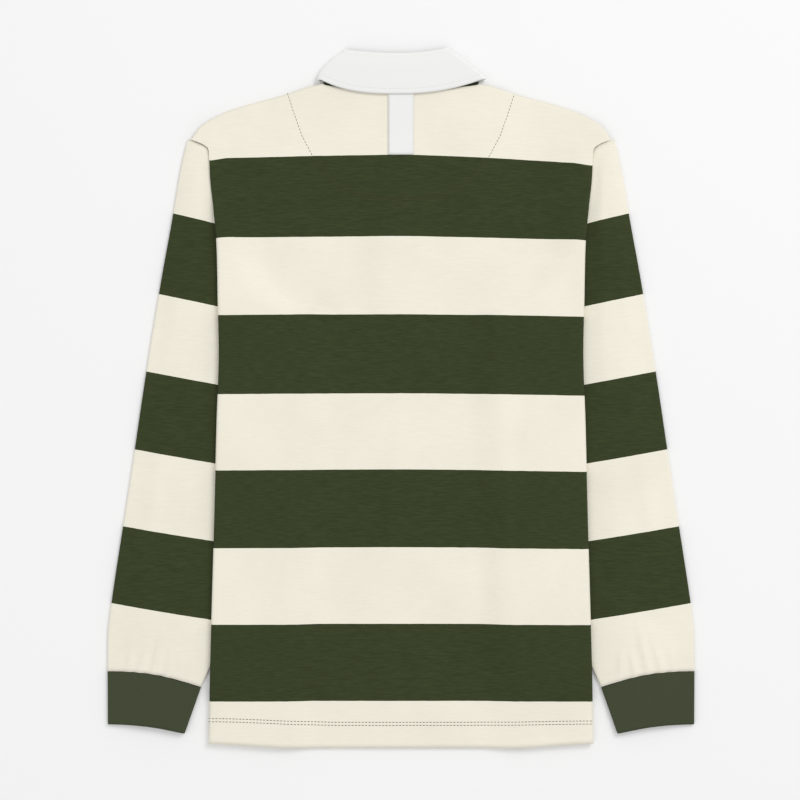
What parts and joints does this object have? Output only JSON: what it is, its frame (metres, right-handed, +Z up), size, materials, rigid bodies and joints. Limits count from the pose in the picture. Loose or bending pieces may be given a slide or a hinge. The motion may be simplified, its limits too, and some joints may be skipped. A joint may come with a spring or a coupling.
{
  "type": "rugby shirt",
  "caption": "Long-sleeved rugby shirt in broad hoops with a white collar, laid flat on its front with its sides turned under and sleeves beside it.",
  "frame": {"origin": "centre of the shirt's footprint, on the surface that it lies on", "axes": "+Y from the hem towards the collar, +X to the right of one who looks down at the shirt's back, +Z up from the surface"},
  "size_m": [0.623, 0.7421, 0.0112],
  "materials": {
    "jersey": "cream cotton jersey knitted in dark-green hoops",
    "green_jersey": "dark-green cotton jersey",
    "rib": "green cotton rib",
    "twill": "white cotton twill",
    "rubber": "matt white rubber"
  },
  "bodies": {
    "root": {"back": "jersey", "front": "jersey", "sleeve_left": "jersey", "sleeve_right": "jersey", "cuff_left": "rib", "cuff_right": "rib", "collar_leaf": "twill", "collar_stand": "green_jersey", "back_tape": "twill", "placket": "twill", "button_1": "rubber", "button_2": "rubber", "button_3": "rubber"}
  },
  "joints": []
}
